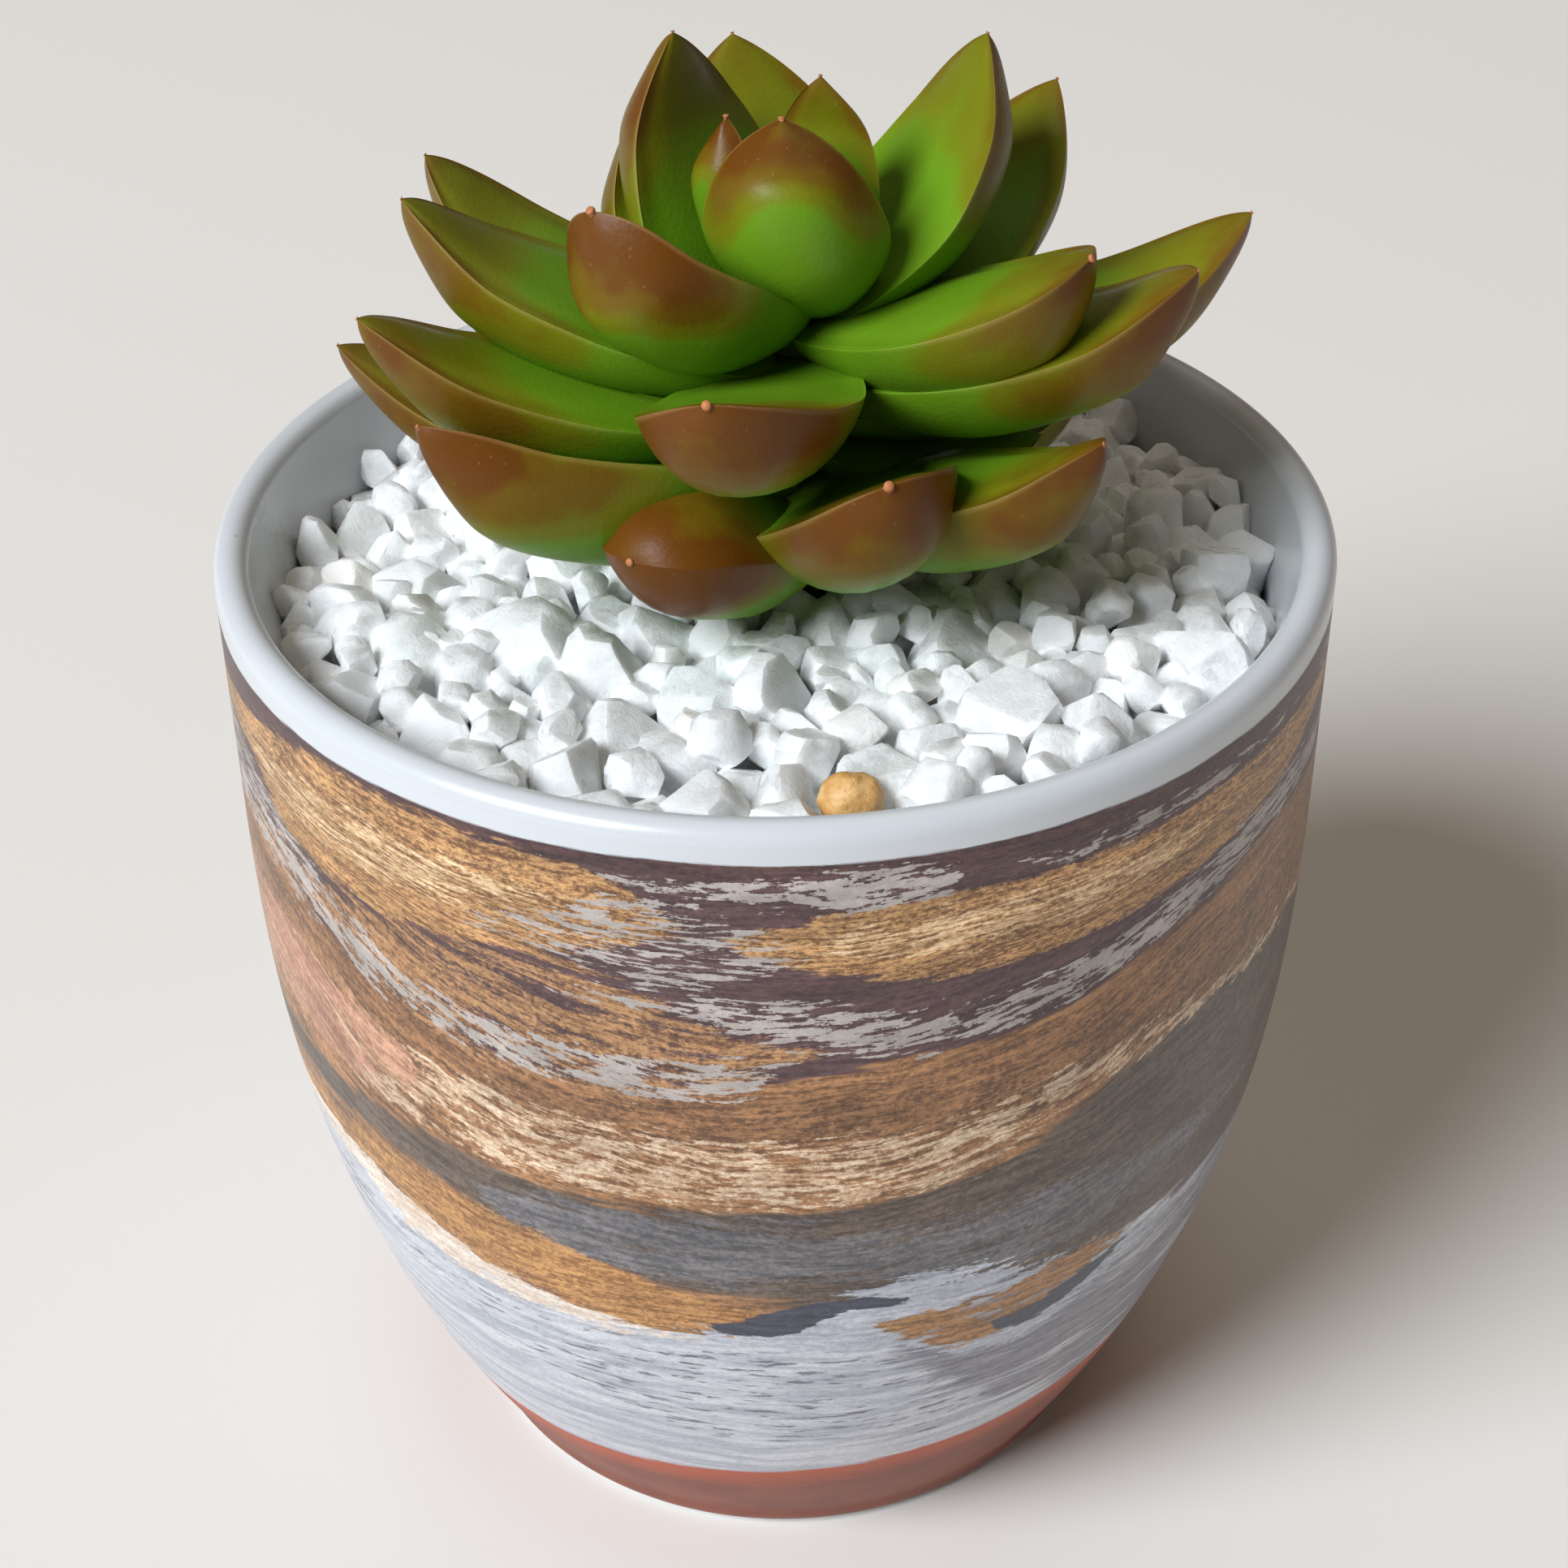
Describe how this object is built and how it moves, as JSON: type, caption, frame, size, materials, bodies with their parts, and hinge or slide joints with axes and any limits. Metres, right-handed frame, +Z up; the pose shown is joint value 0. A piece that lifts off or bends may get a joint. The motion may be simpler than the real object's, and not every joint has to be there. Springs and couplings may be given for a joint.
{
  "type": "potted succulent",
  "caption": "Small succulent with a rosette of thick pointed leaves, in a tumbler-shaped glazed ceramic pot topped with white gravel.",
  "frame": {"origin": "middle of the pot's flat bottom, on the pot's axis", "axes": "+Z up along the pot's axis; the front that the picture shows faces -Y, and +X is to its right"},
  "size_m": [0.088, 0.088, 0.1243],
  "materials": {
    "pot": "satin",
    "soil": "matte",
    "gravel": "matte",
    "ochre_stone": "satin",
    "stem": "matte",
    "leaf": "satin"
  },
  "bodies": {
    "root": {"pot": "pot", "soil": "soil", "gravel": "gravel", "ochre_stone": "ochre_stone", "stem": "stem", "leaf_01": "leaf", "leaf_02": "leaf", "leaf_03": "leaf", "leaf_04": "leaf", "leaf_05": "leaf", "leaf_06": "leaf", "leaf_07": "leaf", "leaf_08": "leaf", "leaf_09": "leaf", "leaf_10": "leaf", "leaf_11": "leaf", "leaf_12": "leaf", "leaf_13": "leaf", "leaf_14": "leaf", "leaf_15": "leaf", "leaf_16": "leaf", "leaf_17": "leaf", "leaf_18": "leaf", "leaf_19": "leaf", "leaf_20": "leaf", "leaf_21": "leaf", "leaf_22": "leaf", "leaf_23": "leaf", "leaf_24": "leaf", "leaf_25": "leaf", "leaf_26": "leaf", "leaf_27": "leaf", "leaf_28": "leaf", "leaf_29": "leaf", "leaf_30": "leaf", "leaf_31": "leaf", "leaf_32": "leaf"}
  },
  "joints": []
}
